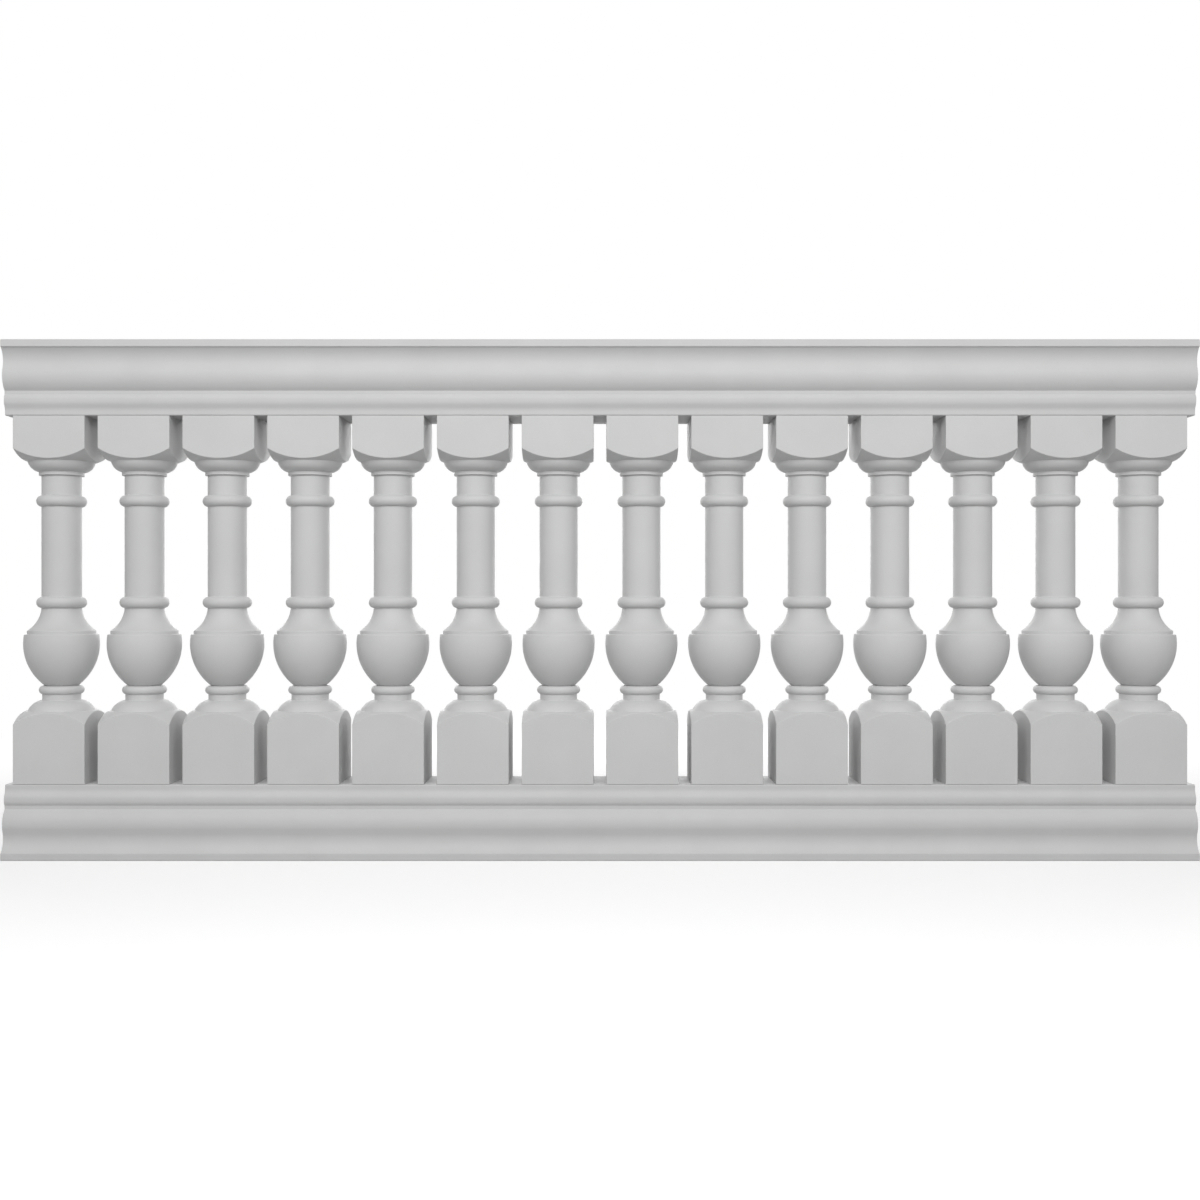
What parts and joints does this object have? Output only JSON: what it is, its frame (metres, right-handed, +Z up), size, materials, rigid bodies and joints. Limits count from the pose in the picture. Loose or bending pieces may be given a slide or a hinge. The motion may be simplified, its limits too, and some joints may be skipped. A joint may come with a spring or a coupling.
{
  "type": "deck railing section",
  "caption": "Straight balustrade section: turned vase balusters with square blocks between a moulded top rail and a matching bottom rail, for guarding the edge of a deck.",
  "frame": {"origin": "on the floor, under the middle of the section", "axes": "+X along the rails to the viewer's right, +Y away from the viewer, +Z up"},
  "size_m": [2.4384, 0.1954, 1.0608],
  "materials": {
    "primed_urethane": "moulded high density urethane, factory primed, satin matte light grey",
    "pipe_steel": "plain mill steel pipe"
  },
  "bodies": {
    "root": {"bottom_rail": "primed_urethane", "top_rail": "primed_urethane", "baluster_01": "primed_urethane", "baluster_02": "primed_urethane", "baluster_03": "primed_urethane", "baluster_04": "primed_urethane", "baluster_05": "primed_urethane", "baluster_06": "primed_urethane", "baluster_07": "primed_urethane", "baluster_08": "primed_urethane", "baluster_09": "primed_urethane", "baluster_10": "primed_urethane", "baluster_11": "primed_urethane", "baluster_12": "primed_urethane", "baluster_13": "primed_urethane", "baluster_14": "primed_urethane", "core_pipe_01": "pipe_steel", "core_pipe_02": "pipe_steel", "core_pipe_03": "pipe_steel", "core_pipe_04": "pipe_steel", "core_pipe_05": "pipe_steel", "core_pipe_06": "pipe_steel", "core_pipe_07": "pipe_steel", "core_pipe_08": "pipe_steel", "core_pipe_09": "pipe_steel", "core_pipe_10": "pipe_steel", "core_pipe_11": "pipe_steel", "core_pipe_12": "pipe_steel", "core_pipe_13": "pipe_steel", "core_pipe_14": "pipe_steel"}
  },
  "joints": []
}
